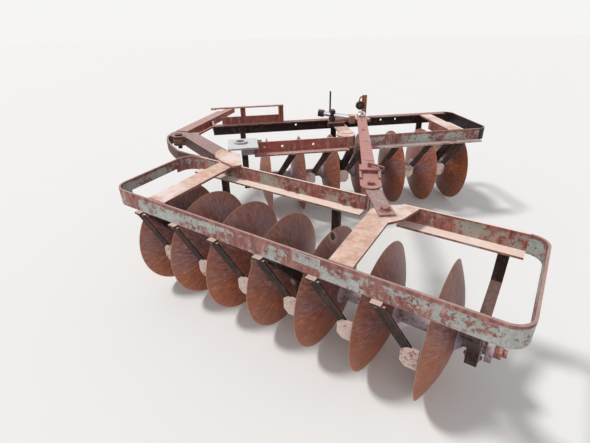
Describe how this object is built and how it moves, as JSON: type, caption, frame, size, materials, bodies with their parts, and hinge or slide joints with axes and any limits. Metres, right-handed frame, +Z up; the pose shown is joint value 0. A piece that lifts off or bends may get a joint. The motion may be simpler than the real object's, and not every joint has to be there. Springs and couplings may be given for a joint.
{
  "type": "offset disc harrow",
  "caption": "Towed offset disc harrow: two angled gangs of dished discs on square axles under angle-steel frames, hinged at one side and set by a flat strap with a locking pin.",
  "frame": {"origin": "middle of the bounding box, on the ground", "axes": "+Z up, +Y the way it is pulled, +X to its right when looking that way"},
  "size_m": [2.3915, 2.8006, 0.909],
  "materials": {
    "bare_rust": "sun-bleached rusty steel",
    "blade_steel": "pale worn steel",
    "bright": "bright worn cylinder",
    "cast": "lavender-grey weathered casting",
    "dark_steel": "dark rust",
    "disc_steel": "orange-brown rust, radial streaks",
    "front_paint": "faded red paint gone to rust",
    "rear_paint": "grey-green paint remnants over rust"
  },
  "bodies": {
    "front_frame": {"front_beam": "front_paint", "front_back_beam_left": "front_paint", "front_back_beam_right": "rear_paint", "front_end_bar": "front_paint", "front_cross_members": "bare_rust", "front_arm": "front_paint", "front_hangers": "dark_steel", "front_bearings": "cast", "front_scraper_arms": "dark_steel", "front_scraper_blades": "blade_steel", "guard_rail": "front_paint", "pivot_bracket": "bare_rust", "strap_pivot_bolt": "bare_rust", "hitch_lug": "front_paint", "hitch_screw": "bright", "screw_block": "bare_rust", "hand_rod": "dark_steel", "end_plate": "bare_rust"},
    "rear_frame": {"rear_back_beam": "rear_paint", "rear_front_beam_left": "front_paint", "rear_front_beam_right": "front_paint", "rear_left_end": "rear_paint", "rear_right_end": "rear_paint", "rear_cross_members": "bare_rust", "rear_arm": "bare_rust", "rear_hangers": "dark_steel", "rear_bearings": "cast", "rear_scraper_arms": "dark_steel", "rear_scraper_blades": "blade_steel", "corner_gussets": "bare_rust", "corner_brace": "rear_paint", "hinge_pin": "bare_rust", "angle_arm": "bare_rust", "holder_bolt": "bare_rust"},
    "angle_strap": {"angle_strap": "bare_rust"},
    "strap_holder": {"strap_holder": "bare_rust", "locking_pin": "dark_steel"},
    "front_gang": {"front_axle": "bare_rust", "front_discs": "disc_steel", "front_spools": "cast"},
    "rear_gang": {"rear_axle": "bare_rust", "rear_discs": "disc_steel", "rear_spools": "cast"}
  },
  "joints": [
    {"name": "gang_angle", "type": "hinge", "parent": "front_frame", "child": "rear_frame", "pos_m": [-1.10378, 0.30472, 0.64], "axis": [0, 0, 1], "range_deg": [0, 5]},
    {"name": "strap_pivot", "type": "hinge", "parent": "front_frame", "child": "angle_strap", "pos_m": [0.24012, 0.95963, 0.709], "axis": [0, 0, 1], "range_deg": [-0.1, 3.42]},
    {"name": "holder_pivot", "type": "hinge", "parent": "rear_frame", "child": "strap_holder", "pos_m": [0.39633, -0.48086, 0.7], "axis": [0, 0, 1], "range_deg": [-1.78, 0.1]},
    {"name": "front_gang_spin", "type": "hinge", "parent": "front_frame", "child": "front_gang", "pos_m": [-0.46115, 0.52844, 0.305], "axis": [0.9317, 0.3633, 0], "continuous": true},
    {"name": "rear_gang_spin", "type": "hinge", "parent": "rear_frame", "child": "rear_gang", "pos_m": [-0.73682, -0.46088, 0.305], "axis": [0.9317, -0.3633, 0], "continuous": true}
  ],
  "couplings": [
    {"joint": "strap_pivot", "follows": "gang_angle", "ratio": 0.66468},
    {"joint": "holder_pivot", "follows": "gang_angle", "ratio": -0.33532}
  ]
}
